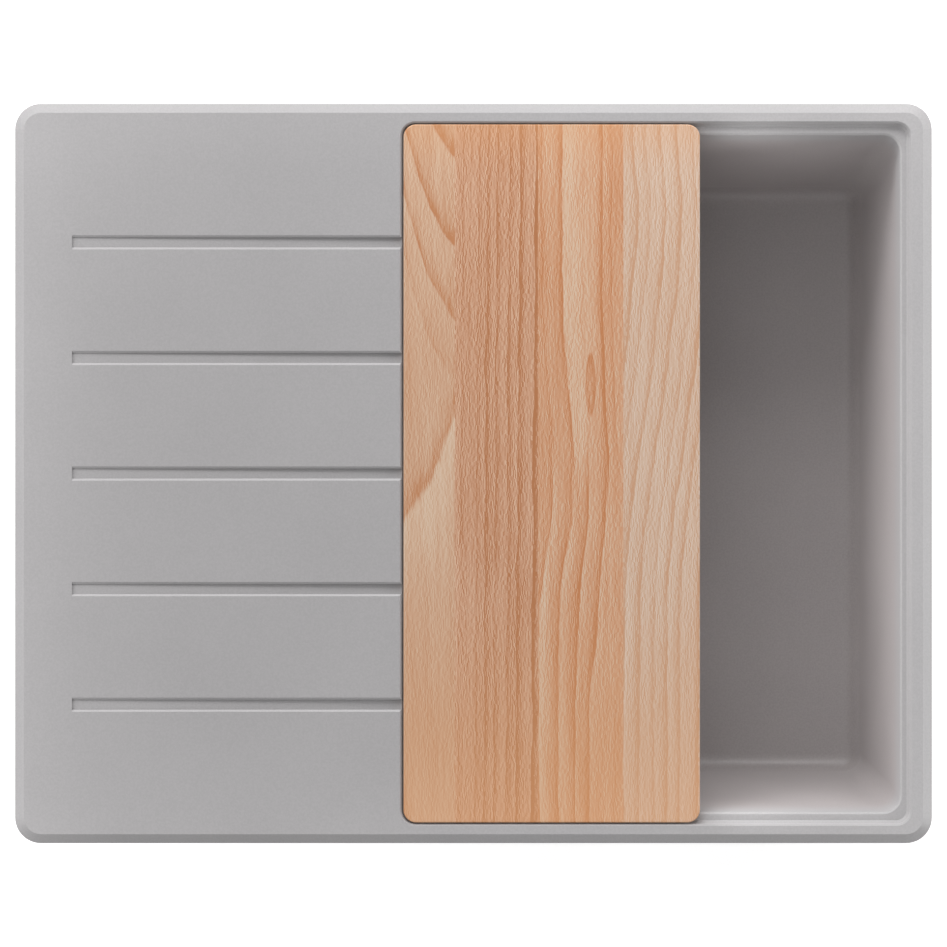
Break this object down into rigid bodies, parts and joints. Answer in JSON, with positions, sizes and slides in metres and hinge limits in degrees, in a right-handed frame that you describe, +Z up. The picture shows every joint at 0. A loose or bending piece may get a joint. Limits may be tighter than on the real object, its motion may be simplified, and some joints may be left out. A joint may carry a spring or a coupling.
{
  "type": "inset kitchen sink with drainer",
  "caption": "Rectangular inset sink of stone composite with a grooved drainer, a deep bowl, a sliding beech board over the bowl, a basket waste and an overflow.",
  "frame": {"origin": "centre of the rim outline, on the worktop plane that the rim lies on", "axes": "+X from the drainer to the bowl along the long side, +Y to the back, +Z up"},
  "size_m": [0.62, 0.5, 0.2953],
  "materials": {
    "composite": "fine matt",
    "beech": "oiled",
    "steel": "satin",
    "rubber": "matt",
    "plastic": "satin",
    "brass": "machined"
  },
  "bodies": {
    "sink": {"sink_body": "composite", "strainer_cup": "steel", "overflow_plate": "steel", "overflow_screw": "steel", "waste_screw": "steel", "rim_seal": "rubber", "flange_gasket": "rubber", "waste_gasket": "rubber", "overflow_gasket": "rubber", "pipe_seals": "rubber", "waste_body": "plastic", "overflow_elbow": "plastic", "overflow_pipe": "plastic", "upper_pipe_nut": "plastic", "lower_pipe_nut": "plastic", "screw_insert": "brass"},
    "board": {"board_stave_1": "beech", "board_stave_2": "beech", "board_stave_3": "beech", "board_stave_4": "beech"},
    "basket": {"strainer_basket": "steel", "basket_plug": "rubber", "basket_stem": "steel", "basket_knob": "steel"}
  },
  "joints": [
    {"name": "board_slide", "type": "slide", "parent": "sink", "child": "board", "axis": [1, 0, 0], "range_m": [0, 0.14]},
    {"name": "basket_lift", "type": "slide", "parent": "sink", "child": "basket", "axis": [0, 0, 1], "range_m": [0, 0.1]}
  ]
}
